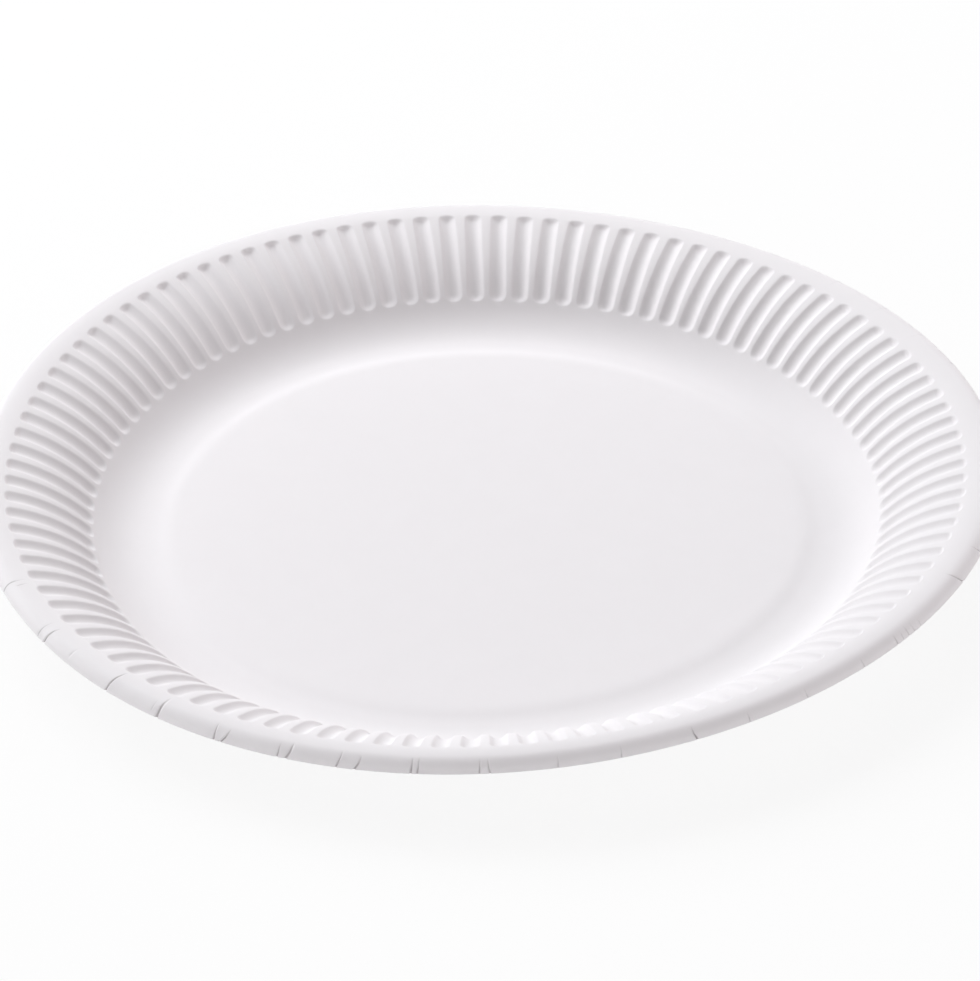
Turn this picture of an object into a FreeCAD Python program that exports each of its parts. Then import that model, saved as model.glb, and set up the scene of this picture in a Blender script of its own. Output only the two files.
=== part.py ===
import FreeCAD, Part
import os
from collections import namedtuple
from math import atan2, cos, radians, sin, tan

# Paper plate, pressed from one round blank of board, lying rim up.
# Millimetres and degrees. The origin is at the middle of the underside, on the table.
# The plate is drawn as flat facets, the same set for each flute and the board around it.
SIZES = {
    "rim_radius": 115.0,      # outer edge of the turned-down lip
    "board": 0.45,            # thickness of the board, the same everywhere
    "lip_run": 1.7,           # straight part of the lip
    "lip_angle": 75.0,        # how far the lip turns down from level
    "lip_bend": 2.5,          # round between the rim's top and the lip
    "crest_tilt": 8.0,        # slope of the rim's top where the lip's round starts
    "crest_radius": 12.3,     # gentle round of the rim's top
    "rim_angle": 15.5,        # slope of the wall at the outer ends of the flutes
    "crown_radius": 40.0,     # round of the fluted wall
    "wall_angle": 50.0,       # steepest slope of the wall, at the inner ends of the flutes
    "hollow_radius": 12.9,    # round from the wall down into the foot ring
    "foot_width": 1.2,        # flat ring that the plate stands on
    "step_width": 6.7,        # slope from the foot ring up to the floor
    "floor_rise": 0.7,        # how far the floor stands above the foot ring
    "flute_count": 108,
    "flute_width": 4.2,       # across one flute, on the upper side
    "flute_bottom": 1.6,      # across the flat at the bottom of a flute
    "flute_depth": 0.8,
    "flute_slant": 2.0,       # degrees of the wall's round that a flute's sloping end takes up
    "bend_count": 3,          # how many flats stand for each round of the section
    "crest_count": 2,
    "crown_count": 3,
    "hollow_count": 3,
}

doc = FreeCAD.newDocument("paper_plate")
sheet = doc.addObject("Spreadsheet::Sheet", "sizes")
for row, (name, value) in enumerate(SIZES.items(), start=1):
    sheet.set(f"A{row}", name)
    sheet.set(f"B{row}", str(value))
    sheet.setAlias(f"B{row}", name)
doc.recompute()


def size(name):
    return float(sheet.get(name))


FLUTES = int(size("flute_count"))
PITCH = 360 / FLUTES
AXIS = FreeCAD.Vector(0, 0, 1)
CENTRE = FreeCAD.Vector(0, 0, 0)

# A place on the upper side of the section: how far out, how high, and the slope in degrees,
# counted as the rise when going outwards
Station = namedtuple("Station", "out up slope")


def run(start, length):
    """The end of a straight run inwards."""
    turn = radians(start.slope)
    return [Station(start.out - length * cos(turn), start.up - length * sin(turn), start.slope)]


def bend(start, slope, radius, count):
    """Stations along a round that ends at a new slope; a hollow has a negative radius."""
    stops = [start.slope + (slope - start.slope) * i / count for i in range(1, count + 1)]
    middle_out = start.out + radius * sin(radians(start.slope))
    middle_up = start.up - radius * cos(radians(start.slope))
    return [Station(middle_out - radius * sin(radians(a)), middle_up + radius * cos(radians(a)), a)
            for a in stops]


def section():
    """The upper side, from the lip's edge inwards: rim, fluted crown, hollow, and step to the floor."""
    rim = [Station(size("rim_radius"), 0, -size("lip_angle"))]
    rim += run(rim[-1], size("lip_run"))
    rim += bend(rim[-1], -size("crest_tilt"), size("lip_bend"), int(size("bend_count")))
    rim += bend(rim[-1], size("rim_angle"), size("crest_radius"), int(size("crest_count")))
    crown = [rim.pop()]
    crown += bend(crown[-1], size("wall_angle"), size("crown_radius"), int(size("crown_count")))
    hollow = bend(crown[-1], 0, -size("hollow_radius"), int(size("hollow_count")))
    step = run(hollow[-1], size("foot_width"))
    foot = step[0]
    step.append(Station(foot.out - size("step_width"), foot.up + size("floor_rise"), 0))
    lift = size("board") - foot.up
    return [[s._replace(up=s.up + lift) for s in part] for part in (rim, crown, hollow, step)]


def sunk(station, depth, across=0):
    """A point below the upper side, in the middle of a flute or beside it."""
    turn = radians(station.slope)
    return FreeCAD.Vector(station.out + depth * sin(turn), across, station.up - depth * cos(turn))


def turned(place, pitches):
    """A point turned about the plate's axis by some flute pitches."""
    turn = radians(pitches * PITCH)
    return FreeCAD.Vector(place.x * cos(turn) - place.y * sin(turn),
                          place.x * sin(turn) + place.y * cos(turn), place.z)


def facet(*corners):
    return Part.Face(Part.makePolygon([*corners, corners[0]]))


def seams(station, depth):
    """The two corners of a plain ring that belong to one flute: midway to its neighbours."""
    place = sunk(station, depth)
    return turned(place, -0.5), turned(place, 0.5)


def plain(stations, depth):
    """Plain board: one facet from each station to the next."""
    corners = [seams(s, depth) for s in stations]
    return [facet(a[0], a[1], b[1], b[0]) for a, b in zip(corners, corners[1:])]


def slid(station, degrees_inwards):
    return bend(station, station.slope + degrees_inwards, size("crown_radius"), 1)[0]


def flute(crown, depth):
    """One flute with the land beside it, on the upper side or, a board's thickness down, below."""
    flank = (size("flute_width") - size("flute_bottom")) / 2
    widen = depth * tan(atan2(size("flute_depth"), flank) / 2)
    brim = size("flute_width") / 2 + widen
    bottom = size("flute_bottom") / 2 + widen
    lows = [slid(crown[0], size("flute_slant")), *crown[1:-1], slid(crown[-1], -size("flute_slant"))]
    left, right = [[sunk(s, depth, y) for s in crown] for y in (-brim, brim)]
    low_left, low_right = [[sunk(s, depth + size("flute_depth"), y) for s in lows]
                           for y in (-bottom, bottom)]
    next_left = [turned(p, 1) for p in left]
    faces = [facet(left[i], right[i], low_right[i], low_left[i]) for i in (0, -1)]
    for i in range(len(crown) - 1):
        k = i + 1
        faces.append(facet(right[i], next_left[i], next_left[k], right[k]))
        faces.append(facet(low_left[i], low_right[i], low_right[k], low_left[k]))
        for high, low in ((left, low_left), (right, low_right)):
            faces.append(facet(high[i], high[k], low[k]))
            faces.append(facet(high[i], low[k], low[i]))
    return faces, (left, right, next_left)


def join(station, edge_points, end, depth):
    """The plain board between a ring and the ends of the flutes."""
    left, right, next_left = [points[end] for points in edge_points]
    seam_left, seam_right = seams(station, depth)
    return [facet(seam_left, seam_right, right, left), facet(seam_right, right, next_left)]


def one_side(rim, crown, hollow, step, depth):
    """One pitch of the upper side or the underside, from the lip's edge to the floor."""
    faces, edge_points = flute(crown, depth)
    faces += join(rim[-1], edge_points, 0, depth) + join(hollow[0], edge_points, -1, depth)
    return faces + plain(rim, depth) + plain(hollow, depth) + plain(step, depth)


def outline(station, depth):
    """The many-sided outline of the board at one station."""
    start = seams(station, depth)[0]
    corners = [turned(start, i) for i in range(FLUTES)]
    return Part.makePolygon([*corners, corners[0]])


def level(hollow, step, depth):
    """The level parts of one side: the foot ring and the floor."""
    ring = Part.makeCompound([outline(hollow[-1], depth), outline(step[0], depth)])
    return [Part.makeFace(ring, "Part::FaceMakerBullseye"), Part.Face(outline(step[-1], depth))]


def pressed_board():
    """The whole plate: one pitch of facets, repeated round the axis and closed by the floor."""
    rim, crown, hollow, step = section()
    board = size("board")
    edge_above, edge_below = seams(rim[0], 0), seams(rim[0], board)
    edge = facet(edge_above[0], edge_above[1], edge_below[1], edge_below[0])
    above = one_side(rim, crown, hollow, step, 0)
    below = one_side(rim, crown, hollow, step, board)
    pitch = Part.makeCompound([edge, *above, *below])
    pitch.sewShape()
    around = [pitch.rotated(CENTRE, AXIS, i * PITCH) for i in range(FLUTES)]
    skin = Part.makeCompound([*around, *level(hollow, step, 0), *level(hollow, step, board)])
    skin.sewShape()
    if skin.ShapeType != "Shell" or not skin.isClosed():
        raise ValueError("the facets don't close")
    return Part.makeSolid(skin)


plate = doc.addObject("Part::Feature", "plate")
plate.Label = "plate"
plate.Shape = pressed_board()
plate.Placement = FreeCAD.Placement(CENTRE, FreeCAD.Rotation(AXIS, 0))
doc.recompute()

for thing in doc.Objects:
    if {"Invalid", "Error"} & set(thing.State):
        raise ValueError(f"{thing.Name} failed")
if plate.Shape.isNull() or not plate.Shape.isValid() or plate.Shape.Volume <= 0:
    raise ValueError("the plate is not a sound solid")

os.makedirs("parts", exist_ok=True)
plate.Shape.exportStep(f"parts/{plate.Label}.step")
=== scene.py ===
from collections import namedtuple
from math import cos, degrees, pi, radians, sin, tau

import bpy
from mathutils import Matrix, Vector


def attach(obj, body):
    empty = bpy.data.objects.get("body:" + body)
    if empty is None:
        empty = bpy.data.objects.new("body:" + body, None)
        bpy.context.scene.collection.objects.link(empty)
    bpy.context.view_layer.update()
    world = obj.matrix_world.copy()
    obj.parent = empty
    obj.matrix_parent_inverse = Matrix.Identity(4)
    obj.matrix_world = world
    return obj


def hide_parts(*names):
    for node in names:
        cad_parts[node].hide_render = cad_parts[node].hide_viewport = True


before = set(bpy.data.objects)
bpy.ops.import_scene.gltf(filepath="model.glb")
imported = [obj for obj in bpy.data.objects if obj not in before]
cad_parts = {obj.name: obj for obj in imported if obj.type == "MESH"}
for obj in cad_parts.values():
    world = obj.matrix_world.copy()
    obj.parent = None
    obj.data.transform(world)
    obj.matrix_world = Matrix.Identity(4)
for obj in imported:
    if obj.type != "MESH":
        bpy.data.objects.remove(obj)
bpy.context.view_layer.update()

MM = 0.001

# Section of the pressed board, upper side, millimetres and degrees
RIM_RADIUS = 114.6
BOARD = 0.45
LIP_RUN = 0.8
LIP_ANGLE = 74.0
LIP_BEND = 3.0
CREST_TILT = 2.0
CREST_RADIUS = 13.6
RIM_ANGLE = 15.5
CROWN_RADIUS = 38.3
WALL_ANGLE = 49.2
HOLLOW_RADIUS = 14.5
FOOT_WIDTH = 1.2
STEP_ANGLE = 12.0
STEP_ROUND = 16.0

# Flutes of the wall; their soft ends reach a little past the wall's round, and fall off more
# steeply at the rim
FLUTES = 108
PITCH = tau / FLUTES
FLUTE_WIDTH = 3.9
FLUTE_DEPTH = 1.0
FLUTE_BRIM = 0.3
FLUTE_PAST_RIM = 0.4
FLUTE_PAST_WALL = 0.3
RIM_END_STEEPNESS = 1.5

# The circle of the flutes' outer ends, by which the photograph was measured
FLUTE_END_RADIUS = 106.45
FLUTE_END_HEIGHT = 17.6

# The real plate is slightly warped: two opposite sides stand higher
WARP_HEIGHT = 1.78
WARP_TURN = -44.8
LIFT = 0.96
# Its rim is a little off the middle, not quite round, and higher at two sides
RIM_SHIFT = 1.02
RIM_SHIFT_TURN = 46.5
RIM_OVAL = 0.5
RIM_RISE = 0.49

Place = namedtuple("Place", "out up slope")


class Section:
    """The upper side of the board, laid out by the length along it from the lip's edge inwards."""

    def __init__(self, start):
        self.parts = []
        self.length = 0
        self.end = start

    def add(self, length, radius):
        self.parts.append((self.length, self.end, radius))
        self.length += length
        self.end = self.at(self.length)
        return self.length

    def run(self, length):
        return self.add(length, None)

    def bend(self, slope, radius):
        """A round that ends at a new slope; a hollow has a negative radius."""
        return self.add(radius * radians(slope - self.end.slope), radius)

    def at(self, length):
        """How far out and how high the board lies at a length, and its slope there."""
        behind, start, radius = [part for part in self.parts if part[0] <= max(length, 0)][-1]
        along = length - behind
        turn = radians(start.slope)
        if radius is None:
            return Place(start.out - cos(turn) * along, start.up - sin(turn) * along, start.slope)
        slope = start.slope + degrees(along / radius)
        middle_out = start.out + radius * sin(turn)
        middle_up = start.up - radius * cos(turn)
        out = middle_out - radius * sin(radians(slope))
        up = middle_up + radius * cos(radians(slope))
        return Place(out, up, slope)


BOARD_LINE = Section(Place(RIM_RADIUS, 0, -LIP_ANGLE))
LIP_END = BOARD_LINE.run(LIP_RUN)
CREST_START = BOARD_LINE.bend(-CREST_TILT, LIP_BEND)
FLUTE_START = BOARD_LINE.bend(RIM_ANGLE, CREST_RADIUS)
FLUTE_END = BOARD_LINE.bend(WALL_ANGLE, CROWN_RADIUS)
HOLLOW_END = BOARD_LINE.bend(0, -HOLLOW_RADIUS)
FOOT_END = BOARD_LINE.run(FOOT_WIDTH)
FOOT_LEVEL = BOARD_LINE.end.up
STEP_MIDDLE = BOARD_LINE.bend(-STEP_ANGLE, -STEP_ROUND)
FLOOR_START = BOARD_LINE.bend(0, STEP_ROUND)
FLOOR_RADIUS = BOARD_LINE.end.out
FLOOR_LEVEL = BOARD_LINE.end.up + BOARD - FOOT_LEVEL
WALL_RADIUS = BOARD_LINE.at(FLUTE_START).out
GROOVE_START = FLUTE_START - FLUTE_PAST_RIM
GROOVE_LENGTH = FLUTE_END + FLUTE_PAST_WALL - GROOVE_START

# A pleat is a narrow crease in the turned-down lip. Its turn is in degrees at the lip's edge, and lean
# is how far it turns on its way inwards. Start and reach are where it begins and ends, in millimetres
# along the board from the edge. Lap is how far the board stands proud on one side of it, and side
# tells on which.
Pleat = namedtuple("Pleat", "turn lean start reach depth width lap side")


def pleat(turn, lean=0.0, reach=3.1, depth=0.18, width=0.45, lap=0.04, side=1, start=0.0):
    return Pleat(turn, lean, start, reach, depth, width, lap, side)


# The creases that the photograph shows, from the left along the front to the right
PLEATS = [
    pleat(200.45, 0.45, 7.1, 0.26, 0.45),
    pleat(201.95, -0.2, 6.9, 0.16, 0.45, start=3.9),
    pleat(209.65, 0.6, 6.1, 0.16, 0.45),
    pleat(211.0, 0.7, 5.9, 0.35, 0.54, 0.11, -1),
    pleat(215.55, 0.55, 5.1, 0.08, 0.75, start=1.3),
    pleat(222.45, 0.95, 7.7, 0.36, 0.69, 0.09),
    pleat(229.15, 0.45, 4.4, 0.10, 0.51, start=0.7),
    pleat(230.15, 0.5, 6.3, 0.36, 0.90, 0.11),
    pleat(237.8, 0.15, 4.7, 0.32, 0.54, 0.09, 1),
    pleat(238.6, 1.0, 3.7, 0.36, 0.63, 0.09, -1),
    pleat(245.5, 0.25, 3.8, 0.29, 0.54),
    pleat(246.45, 0.75, 4.1, 0.36, 0.93, 0.11),
    pleat(252.2, 0.6, 4.3, 0.32, 0.54, 0.09, 1),
    pleat(254.25, 0.7, 3.4, 0.35, 0.75, 0.11, -1),
    pleat(260.4, 0.2, 3.9, 0.35, 0.69),
    pleat(261.1, 0.2, 3.9, 0.29, 0.54, 0.09, -1),
    pleat(267.75, 0.1, 3.6, 0.27, 0.54),
    pleat(268.9, -0.2, 3.6, 0.27, 0.54, 0.09),
    pleat(276.15),
    pleat(283.0),
    pleat(291.6, -0.5, 3.4, 0.35, 0.60, 0.09, -1),
    pleat(297.9, -0.2, 2.7),
    pleat(305.35, -0.3, 2.5, 0.16, 0.45),
    pleat(313.55, -0.3, 2.5),
    pleat(319.1, -0.3, 2.9, 0.21, 0.45),
    pleat(320.2, -0.3, 2.5, 0.16, 0.45),
    pleat(321.2, -0.4, 3.1, 0.21, 0.45),
    pleat(322.2, -0.4, 2.7, 0.16, 0.45),
    pleat(323.4, -0.3, 2.5, 0.13, 0.45),
    pleat(333.2, -1.35, 4.7, 0.32, 0.60, 0.09, -1),
    pleat(339.3, -1.0, 3.8, 0.26),
    pleat(17.9, 1.1, 3.8, 0.26),
]
# Faint creases of the right and the back, and plain ones where the lip is out of sight
PLEATS += [pleat(turn, reach=7.3, depth=0.07) for turn in (26.05, 33.45, 41.55, 68.75)]
PLEATS += [pleat(turn) for turn in (349.5, 2.5, 10.1, 49.4, 57.0, 76.2)]
PLEATS += [pleat(84.0 + 7.5 * i, reach=2.9, depth=0.1) for i in range(15)]

# The form that all pleats share: how quickly one runs out at its inner end and sets in where it
# starts away from the edge, the share of its width that it loses on its way, the steepness of its
# flanks, and where the proud board lies, in half widths from its middle
PLEAT_RUN_OUT = 1.3
PLEAT_SET_IN = 4
PLEAT_TAPER = 0.55
PLEAT_FLANK = 1.7
PROUD_PLACE = 1.9

# Millimetres from a pleat's middle: its columns, the board that it can shape, and the board that has
# no even columns
PLEAT_COLUMNS = [0.1, 0.2, 0.32, 0.5, 0.78]
PLEAT_SPAN = 1.5
PLEAT_CLEARANCE = 1.1

# One side of the board: how far down in the board it lies, and how fine its mesh is. Flute_columns
# are millimetres from a flute's middle, end_rings millimetres from a flute's end inwards, flute_step
# is the distance of the rings between them, and dish_columns the count of columns round the dish.
# Rim_coarse and dish_coarse multiply the steps of the rim and of the dish.
Side = namedtuple("Side", "down flute_columns end_rings flute_step dish_columns rim_coarse dish_coarse")
UPPER = Side(
    down=0,
    flute_columns=[0.6, 1.1, 1.5, 1.7, 1.88, 2.05, 2.25],
    end_rings=[-0.2, -0.06, 0.06, 0.18, 0.32, 0.55, 0.85, 1.25, 2.0],
    flute_step=2.7,
    dish_columns=432,
    rim_coarse=1.0,
    dish_coarse=1.1,
)
LOWER = Side(
    down=BOARD,
    flute_columns=[0.9, 1.6, 2.15],
    end_rings=[-0.25, 0.1, 0.5, 1.1, 2.1],
    flute_step=2.8,
    dish_columns=216,
    rim_coarse=1.8,
    dish_coarse=1.6,
)
RIM_COLUMNS = 378

# Steps from ring to ring, millimetres along the board
LIP_STEP = 0.45
BEND_STEP = 0.36
CREST_STEP = 0.55
HOLLOW_STEP = 0.9
FOOT_STEP = 0.6
RISE_STEP = 0.8
# Plain board between the rim's rings and the flutes, and between the flutes and the hollow's rings
CREST_GAP = 0.55
HOLLOW_GAP = 0.2
# Rings of the floor: the share of its radius, and how many times fewer columns
FLOOR_RINGS = [(0.85, 2), (0.7, 2), (0.55, 4), (0.4, 4), (0.25, 8), (0.1, 8)]
SHARP_ANGLE = 55

# What the mesh tells the material: how deep a flute was pressed, as a share, the depth of a pleat in
# millimetres, both of which also give painted shade in the material, and one along the cut edge
MARKS = ("pressed", "creased", "cut")


def soft_floor(value, brim):
    """The value where it is above nought, nought below, with a smooth bend between them."""
    if value <= -brim:
        return 0.0
    if value >= brim:
        return value
    return (value + brim) ** 2 / (4 * brim)


def flute_depth(along, across):
    """How deep the nearest flute lies, along it from its outer end and across it from its middle."""
    half = FLUTE_WIDTH / 2
    past_rim = RIM_END_STEEPNESS * (half / RIM_END_STEEPNESS - along)
    past_wall = along - (GROOVE_LENGTH - half)
    past = max(past_rim, past_wall, 0)
    return FLUTE_DEPTH * soft_floor(1 - (across ** 2 + past ** 2) / half ** 2, FLUTE_BRIM)


def pleat_turn(crease, length):
    """Where a pleat runs, in degrees, at a length from the lip's edge."""
    way = min(max(length / crease.reach, 0), 1)
    return crease.turn + crease.lean * way * (2 - way)


def pleat_depth(crease, length, across):
    """How deep a pleat lies; the board beside it stands slightly proud."""
    if not crease.start <= length <= crease.reach:
        return 0.0
    way = (length - crease.start) / (crease.reach - crease.start)
    fade = min(1, PLEAT_RUN_OUT * (1 - way), PLEAT_SET_IN * way if crease.start else 1)
    half = crease.width * (1 - PLEAT_TAPER * way) / 2
    groove = crease.depth * min(1, max(0, PLEAT_FLANK * (1 - abs(across) / half)))
    beside = across * crease.side / half - PROUD_PLACE
    proud = crease.lap * max(0, 1 - beside ** 2)
    return fade * (groove - proud)


def rim_depth(length, turn, out):
    """How deep the pleats lie at a place of the rim."""
    total = 0.0
    for crease in PLEATS:
        apart = (turn - radians(pleat_turn(crease, length)) + pi) % tau - pi
        if abs(apart) * out < PLEAT_SPAN:
            total += pleat_depth(crease, length, apart * out)
    return total


def point(place, turn, depth):
    """The point of the warped plate at a place of the section, a turn round it and a depth in it."""
    slope = radians(place.slope)
    out = place.out + depth * sin(slope)
    up = place.up - depth * cos(slope) + BOARD - FOOT_LEVEL
    share = min(max((place.out - WALL_RADIUS) / (RIM_RADIUS - WALL_RADIUS), 0), 1)
    out += share * (RIM_SHIFT * cos(turn - radians(RIM_SHIFT_TURN)) + RIM_OVAL * cos(2 * turn))
    swell = WARP_HEIGHT * (out / FLUTE_END_RADIUS) ** 2 * cos(2 * (turn - radians(WARP_TURN)))
    swell += share * RIM_RISE * cos(2 * turn)
    return Vector((out * cos(turn), out * sin(turn), up + LIFT + swell)) * MM


def spread(start, end, step):
    """Even places from start to end, without the start."""
    count = max(1, round((end - start) / step))
    return [start + (end - start) * i / count for i in range(1, count + 1)]


def even_turns(count):
    return [tau * i / count for i in range(count)]


def flute_turns(out, columns):
    """Turns of the columns round the plate: each flute's own, and the middle of the land beside it."""
    turns = []
    for i in range(FLUTES):
        turns += [PITCH * i] + [PITCH * i + c / out for c in columns]
        turns += [PITCH * (i + 0.5)] + [PITCH * (i + 1) - c / out for c in reversed(columns)]
    return turns


class Lines:
    """The columns of the rim: even ones, and close ones that follow each pleat."""

    def __init__(self, count):
        clear = PLEAT_CLEARANCE / RIM_RADIUS
        spans = []
        for crease in PLEATS:
            ends = [radians(crease.turn), radians(crease.turn + crease.lean)]
            spans.append((min(ends) - clear, max(ends) + clear))
        free = [turn for turn in even_turns(count) if not any(low < turn < high for low, high in spans)]
        self.lines = [(turn, None, 0.0) for turn in free]
        for crease in PLEATS:
            for offset in [0.0] + PLEAT_COLUMNS + [-c for c in PLEAT_COLUMNS]:
                self.lines.append((radians(crease.turn) + offset / RIM_RADIUS, crease, offset))
        self.lines.sort(key=lambda line: line[0])

    def turns(self, length, out):
        """Where the columns run at a length from the lip's edge."""
        found = []
        for turn, crease, offset in self.lines:
            if crease:
                turn = radians(pleat_turn(crease, length)) + offset / out
            found.append(turn)
        return found


class Shell:
    """Vertices and faces of the plate, gathered ring by ring."""

    def __init__(self):
        self.points = []
        self.faces = []
        self.marks = {name: [] for name in MARKS}

    def add(self, place, **marks):
        """A vertex with its marks; gives its number."""
        self.points.append(place)
        for name in MARKS:
            self.marks[name].append(marks.get(name, 0.0))
        return len(self.points) - 1

    def join(self, outer, inner, flip):
        """Faces between two rings that may have different counts of points."""
        (outer_ring, outer_turns), (inner_ring, inner_turns) = outer, inner
        outer_count, inner_count = len(outer_ring), len(inner_ring)
        i = k = 0
        while i < outer_count or k < inner_count:
            next_outer = outer_turns[(i + 1) % outer_count] + tau * ((i + 1) // outer_count)
            next_inner = inner_turns[(k + 1) % inner_count] + tau * ((k + 1) // inner_count)
            a, b = outer_ring[i % outer_count], inner_ring[k % inner_count]
            c, d = outer_ring[(i + 1) % outer_count], inner_ring[(k + 1) % inner_count]
            if outer_count == inner_count:
                face = (a, c, d, b)
                i += 1
                k += 1
            elif k >= inner_count or (i < outer_count and next_outer < next_inner):
                face = (a, c, b)
                i += 1
            else:
                face = (a, d, b)
                k += 1
            self.faces.append(face[::-1] if flip else face)


def rim_rings(shell, lines, side):
    """The lip and the rim's top, with its pleats on the upper side."""
    places = [0.0]
    places += spread(0, LIP_END, LIP_STEP * side.rim_coarse)
    places += spread(LIP_END, CREST_START, BEND_STEP * side.rim_coarse)
    places += spread(CREST_START, GROOVE_START - CREST_GAP, CREST_STEP * side.rim_coarse)
    rings = []
    for length in places:
        place = BOARD_LINE.at(length)
        turns = lines.turns(length, place.out)
        ring = []
        for turn in turns:
            depth = rim_depth(length, turn, place.out) if side is UPPER else 0.0
            ring.append(shell.add(point(place, turn, depth + side.down), creased=max(depth, 0)))
        rings.append((ring, turns))
    return rings


def flute_rings(shell, side):
    """The fluted wall."""
    ends = side.end_rings
    places = ends + spread(ends[-1], GROOVE_LENGTH - ends[-1], side.flute_step)
    places += [GROOVE_LENGTH - end for end in reversed(ends[:-1])]
    rings = []
    for along in places:
        place = BOARD_LINE.at(GROOVE_START + along)
        turns = flute_turns(place.out, side.flute_columns)
        ring = []
        for turn in turns:
            across = ((turn + PITCH / 2) % PITCH - PITCH / 2) * place.out
            depth = flute_depth(along, across)
            ring.append(shell.add(point(place, turn, depth + side.down), pressed=depth / FLUTE_DEPTH))
        rings.append((ring, turns))
    return rings


def dish_rings(shell, side):
    """The hollow, the foot ring, the rise to the floor, and the floor."""
    start = GROOVE_START + GROOVE_LENGTH + HOLLOW_GAP
    lengths = spread(start, HOLLOW_END, HOLLOW_STEP * side.dish_coarse)
    lengths += spread(HOLLOW_END, FOOT_END, FOOT_STEP * side.dish_coarse)
    lengths += spread(FOOT_END, STEP_MIDDLE, RISE_STEP * side.dish_coarse)
    lengths += spread(STEP_MIDDLE, FLOOR_START, RISE_STEP * side.dish_coarse)
    places = [(BOARD_LINE.at(length), side.dish_columns) for length in lengths]
    floor = BOARD_LINE.at(FLOOR_START)
    for share, fewer in FLOOR_RINGS:
        places.append((floor._replace(out=FLOOR_RADIUS * share), side.dish_columns // fewer))
    rings = []
    for place, count in places:
        turns = even_turns(count)
        rings.append(([shell.add(point(place, turn, side.down)) for turn in turns], turns))
    return rings


def one_side(shell, lines, side):
    """All rings of one side, joined, and the middle of the floor closed; gives the lip's edge."""
    below = side is LOWER
    rings = rim_rings(shell, lines, side) + flute_rings(shell, side) + dish_rings(shell, side)
    for outer, inner in zip(rings, rings[1:]):
        shell.join(outer, inner, below)
    middle = shell.add(Vector((0, 0, FLOOR_LEVEL + LIFT - side.down)) * MM)
    last = rings[-1][0]
    for i, corner in enumerate(last):
        face = (corner, last[(i + 1) % len(last)], middle)
        shell.faces.append(face[::-1] if below else face)
    return rings[0]


def cut_edge(shell, lines, upper_edge, lower_edge):
    """The cut edge of the board, with the raw middle of the board between its two faces."""
    edge = BOARD_LINE.at(0)
    turns = lines.turns(0, edge.out)
    core = []
    for turn in turns:
        half_way = 0.5 * (BOARD + rim_depth(0, turn, edge.out))
        core.append(shell.add(point(edge, turn, half_way), cut=1.0))
    shell.join(upper_edge, (core, turns), True)
    shell.join((core, turns), lower_edge, True)


def make_plate():
    shell = Shell()
    lines = Lines(RIM_COLUMNS)
    upper_edge = one_side(shell, lines, UPPER)
    lower_edge = one_side(shell, lines, LOWER)
    cut_edge(shell, lines, upper_edge, lower_edge)
    mesh = bpy.data.meshes.new("plate_board")
    mesh.from_pydata(shell.points, [], shell.faces)
    for name in MARKS:
        mesh.attributes.new(name, "FLOAT", "POINT").data.foreach_set("value", shell.marks[name])
    mesh.polygons.foreach_set("use_smooth", [True] * len(mesh.polygons))
    mesh.set_sharp_from_angle(angle=radians(SHARP_ANGLE))
    mesh.update()
    board = bpy.data.objects.new("pressed_board", mesh)
    bpy.context.scene.collection.objects.link(board)
    return board


class Value:
    """A node's output; arithmetic on it adds Math nodes."""

    def __init__(self, nodes, socket):
        self.nodes = nodes
        self.socket = socket

    def math(self, operation, first, second):
        return self.nodes.node("ShaderNodeMath", {"operation": operation}, {0: first, 1: second})["Value"]

    def __add__(self, other):
        return self.math("ADD", self, other)

    def __radd__(self, other):
        return self.math("ADD", other, self)

    def __sub__(self, other):
        return self.math("SUBTRACT", self, other)

    def __rsub__(self, other):
        return self.math("SUBTRACT", other, self)

    def __mul__(self, other):
        return self.math("MULTIPLY", self, other)

    def __rmul__(self, other):
        return self.math("MULTIPLY", other, self)


class Nodes:
    """The nodes of a material or of the world."""

    def __init__(self, owner):
        owner.use_nodes = True
        self.tree = owner.node_tree

    def put(self, socket, value):
        if isinstance(value, Value):
            self.tree.links.new(value.socket, socket)
        else:
            socket.default_value = value

    def node(self, kind, settings, sockets):
        """A new node with its settings and sockets; gives its outputs by name."""
        made = self.tree.nodes.new(kind)
        for key, value in settings.items():
            setattr(made, key, value)
        for key, value in sockets.items():
            self.put(made.inputs[key], value)
        return {socket.name: Value(self, socket) for socket in made.outputs if socket.enabled}

    def feed(self, name, sockets):
        """Sets the sockets of a node that the tree starts with."""
        for key, value in sockets.items():
            self.put(self.tree.nodes[name].inputs[key], value)

    def noise(self, place, grain, detail, distortion=0.0):
        """Noise whose blotches measure about a grain, in the units of the place."""
        sockets = {"Vector": place, "Scale": 1 / grain, "Detail": detail, "Distortion": distortion}
        return self.node("ShaderNodeTexNoise", {}, sockets)["Fac"]

    def attribute(self, name):
        return self.node("ShaderNodeAttribute", {"attribute_name": name}, {})["Fac"]

    def blend(self, share, first, second):
        """A colour between two others."""
        settings = {"data_type": "RGBA"}
        return self.node("ShaderNodeMix", settings, {0: share, 6: first, 7: second})["Result"]


WHITE = (1, 1, 1, 1)

# Uncoated board: its colour, its darker tone, and the painted shade deep in a pleat
BOARD_TONE = (0.885, 0.864, 0.876, 1)
BOARD_SHADE = (0.80, 0.775, 0.782, 1)
CREASE_PAINTED_SHADE = (0.3, 0.27, 0.28, 1)
# How much each of these brings the darker tone out; for the pressed flutes it is painted shade in their
# hollows
CLOUD_SHADE = 0.16
FELT_SHADE = 0.14
FLUTE_PAINTED_SHADE = 0.03
CUT_SHADE = 0.8
# How much a millimetre of a pleat's depth brings out the painted shade deep in it
CREASE_SHADE_SHARE = 1.5
BOARD_SHINE = 0.25
BOARD_ROUGHNESS = 0.72
FELT_ROUGHNESS = 0.12
CUT_ROUGHNESS = 0.1
PRESSED_SMOOTHNESS = 0.06
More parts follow.
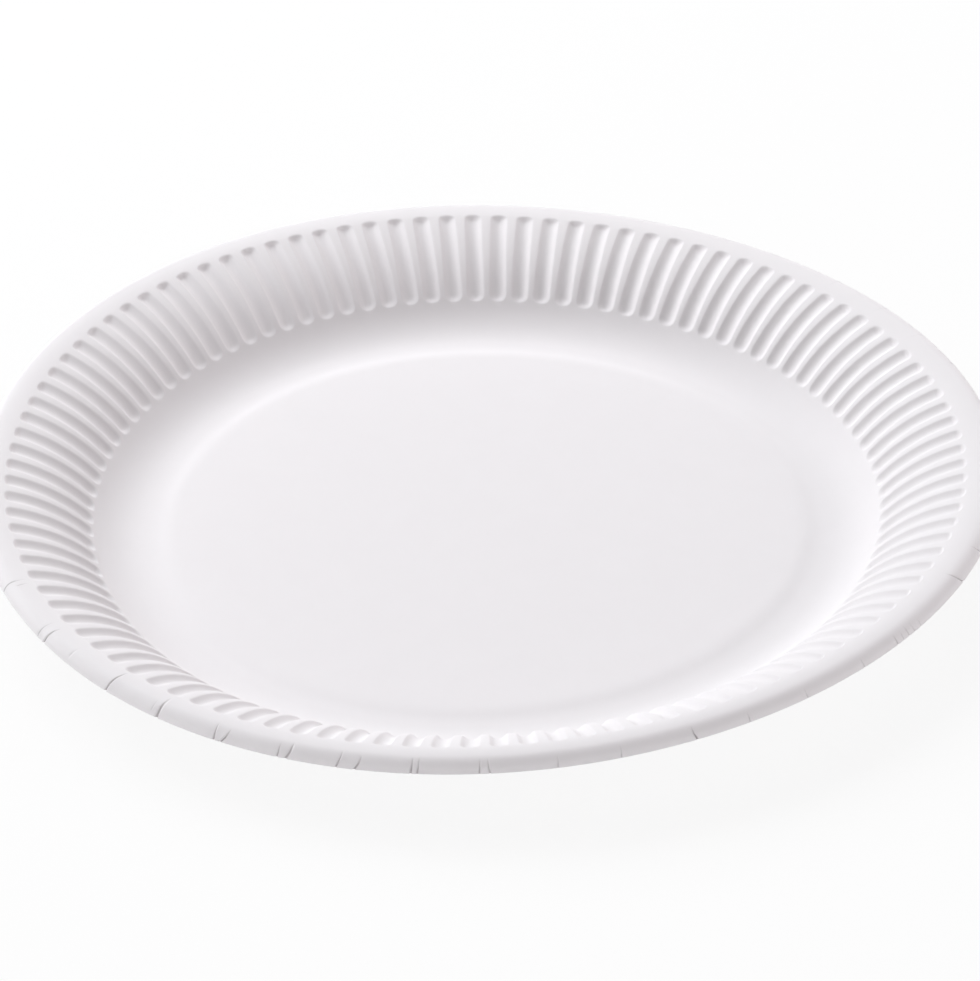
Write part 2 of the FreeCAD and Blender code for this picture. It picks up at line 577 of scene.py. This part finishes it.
# The surface, in millimetres and degrees
CLOUD_SIZE = 7.0
CLOUD_DETAIL = 3.0
TOOTH_SIZE = 0.5
TOOTH_DETAIL = 3.0
TOOTH_SHARE = 0.5
FIBRE_TURNS = (14.0, 68.0, 131.0)
FIBRE_WIDTH = 0.09
FIBRE_LENGTH = 1.5
FIBRE_HEIGHT = 0.012
FIBRE_DETAIL = 1.0
FIBRE_CURL = 0.4


def fibres(nodes, place):
    """The felt of a board's surface: fine streaks that lie in several directions."""
    total = 0.0
    for turn in FIBRE_TURNS:
        lain = nodes.node("ShaderNodeMapping", {"vector_type": "TEXTURE"},
                          {"Vector": place, "Rotation": (0, 0, radians(turn)),
                           "Scale": (FIBRE_LENGTH, FIBRE_WIDTH, FIBRE_WIDTH)})["Vector"]
        streak = nodes.noise(lain, 1.0, FIBRE_DETAIL, FIBRE_CURL)
        total = streak * (1 / len(FIBRE_TURNS)) + total
    return total


def board_material():
    """Uncoated white board: faint clouds, fine fibres, smoother where it was pressed, with painted shade
    in the flutes' hollows and deep in the pleats.
    """
    material = bpy.data.materials.new("uncoated_board")
    nodes = Nodes(material)
    place = nodes.node("ShaderNodeTexCoord", {}, {})["Object"]
    millimetres = nodes.node("ShaderNodeVectorMath", {"operation": "SCALE"},
                             {0: place, "Scale": 1 / MM})["Vector"]
    felt = fibres(nodes, millimetres)
    clouds = nodes.noise(place, CLOUD_SIZE * MM, CLOUD_DETAIL)
    tooth = nodes.noise(place, TOOTH_SIZE * MM, TOOTH_DETAIL)
    pressed, creased, cut = [nodes.attribute(name) for name in MARKS]
    # Clouds, felt and the raw cut edge are the board's own tone; the pressed share paints shade into the
    # flutes' hollows
    shade = CLOUD_SHADE * clouds + FELT_SHADE * felt + FLUTE_PAINTED_SHADE * pressed + CUT_SHADE * cut
    plain = nodes.blend(shade, BOARD_TONE, BOARD_SHADE)
    rough = BOARD_ROUGHNESS + FELT_ROUGHNESS * felt - PRESSED_SMOOTHNESS * pressed + CUT_ROUGHNESS * cut
    relief = nodes.node("ShaderNodeBump", {}, {"Strength": 1.0, "Distance": FIBRE_HEIGHT * MM,
                                               "Height": felt + TOOTH_SHARE * tooth})["Normal"]
    nodes.feed("Principled BSDF", {
        # The pleats darken toward a near black by their depth: painted shade deep in the creases
        "Base Color": nodes.blend(CREASE_SHADE_SHARE * creased, plain, CREASE_PAINTED_SHADE),
        "Roughness": rough,
        "Specular IOR Level": BOARD_SHINE,
        "Normal": relief,
    })
    return material


# The photograph's camera. Its place is counted from the middle of the circle of the flutes' outer
# ends, in radii of that circle, for a plate that is turned by a small angle.
PICTURE = (980, 981)
PLATE_TURN = 0.8454
CAMERA_AT = Vector((0.0087459, -10.933602, 7.215254))
CAMERA_RIGHT = Vector((0.99970005, -0.01358087, -0.0203806))
CAMERA_UP = Vector((0.02449099, 0.55435878, 0.83191738))
FOCAL_PIXELS = 6211.03
SENSOR = 36.0
CAMERA_SIGHT = 100


def aim_camera():
    turn = Matrix.Rotation(-radians(PLATE_TURN), 3, "Z")
    right, up = turn @ CAMERA_RIGHT, turn @ CAMERA_UP
    place = (turn @ CAMERA_AT) * FLUTE_END_RADIUS + Vector((0, 0, FLUTE_END_HEIGHT + LIFT))
    lens = bpy.data.cameras.new("camera")
    lens.sensor_width = SENSOR
    lens.lens = FOCAL_PIXELS / max(PICTURE) * SENSOR
    lens.clip_end = CAMERA_SIGHT
    camera = bpy.data.objects.new("camera", lens)
    bpy.context.scene.collection.objects.link(camera)
    back = right.cross(up)
    camera.matrix_world = Matrix.Translation(place * MM) @ Matrix((right, up, back)).transposed().to_4x4()
    bpy.context.scene.camera = camera


# Soft lamps: turn and height seen from the plate in degrees, metres, watts and tint
Lamp = namedtuple("Lamp", "name turn height distance width tall power tint")
COOL = (0.97, 0.985, 1)
WARM = (1, 0.93, 0.93)
LAMPS = [
    Lamp("window_right", 90.0, 48.0, 1.6, 1.2, 1.2, 7.8, COOL),
    Lamp("window_middle", 127.0, 48.0, 1.6, 1.2, 1.2, 12.5, COOL),
    Lamp("window_left", 160.0, 42.0, 1.6, 1.2, 1.2, 10.4, COOL),
    Lamp("right_fill", 0.0, 14.0, 1.6, 1.2, 1.2, 9.8, WARM),
    Lamp("front_fill", 245.0, 14.0, 1.6, 1.2, 1.2, 3.2, WARM),
    Lamp("front_card", 240.0, 2.4, 1.2, 1.0, 0.1, 2.0, COOL),
    Lamp("right_card", 320.0, 2.4, 1.2, 1.0, 0.1, 1.7, COOL),
]
SKY = 0.125
SKY_TINT = (1, 0.955, 0.985, 1)
FLOOR_TONE = (0.9, 0.9, 0.9, 1)
FLOOR_ROUGHNESS = 0.9
WHITE_SHARE = 0.9
FLOOR_REACH = 3.0


def soft_light(lamp):
    """A wide lamp or a low card of light that faces the plate."""
    light = bpy.data.lights.new(lamp.name, "AREA")
    light.shape = "RECTANGLE"
    light.size = lamp.width
    light.size_y = lamp.tall
    light.energy = lamp.power
    light.color = lamp.tint
    box = bpy.data.objects.new(lamp.name, light)
    box.visible_camera = False
    bpy.context.scene.collection.objects.link(box)
    level = cos(radians(lamp.height))
    turn = radians(lamp.turn)
    aim = Vector((level * cos(turn), level * sin(turn), sin(radians(lamp.height))))
    box.location = aim * lamp.distance
    box.rotation_euler = aim.to_track_quat("Z", "Y").to_euler()


def seen_directly(nodes):
    """One for what the camera sees, straight or in a gloss or through glass."""
    path = nodes.node("ShaderNodeLightPath", {}, {})
    return path["Is Camera Ray"] + path["Is Glossy Ray"] + path["Is Transmission Ray"]


def floor_material():
    """Pale floor: nearly white to the camera, and it keeps a light shadow."""
    material = bpy.data.materials.new("pale_floor")
    nodes = Nodes(material)
    nodes.feed("Principled BSDF", {"Base Color": FLOOR_TONE, "Roughness": FLOOR_ROUGHNESS})
    white = nodes.node("ShaderNodeEmission", {}, {"Color": WHITE, "Strength": 1.0})["Emission"]
    lit = Value(nodes, nodes.tree.nodes["Principled BSDF"].outputs["BSDF"])
    share = WHITE_SHARE * seen_directly(nodes)
    mixed = nodes.node("ShaderNodeMixShader", {}, {0: share, 1: lit, 2: white})["Shader"]
    nodes.feed("Material Output", {"Surface": mixed})
    return material


def pale_floor():
    mesh = bpy.data.meshes.new("floor")
    corners = [(-1, -1), (1, -1), (1, 1), (-1, 1)]
    mesh.from_pydata([(x * FLOOR_REACH, y * FLOOR_REACH, 0) for x, y in corners], [], [(0, 1, 2, 3)])
    mesh.materials.append(floor_material())
    floor = bpy.data.objects.new("floor", mesh)
    bpy.context.scene.collection.objects.link(floor)


def pale_sky():
    """A weak sky on the plate, and plain white where it is seen."""
    world = bpy.data.worlds.new("studio")
    bpy.context.scene.world = world
    nodes = Nodes(world)
    seen = seen_directly(nodes)
    nodes.feed("Background", {
        "Color": nodes.blend(seen, SKY_TINT, WHITE),
        "Strength": SKY + (1 - SKY) * seen,
    })


plate = make_plate()
plate.data.materials.append(board_material())
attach(plate, "root")
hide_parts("plate")
aim_camera()
pale_floor()
pale_sky()
for each_lamp in LAMPS:
    soft_light(each_lamp)
bpy.context.scene.view_settings.view_transform = "Standard"
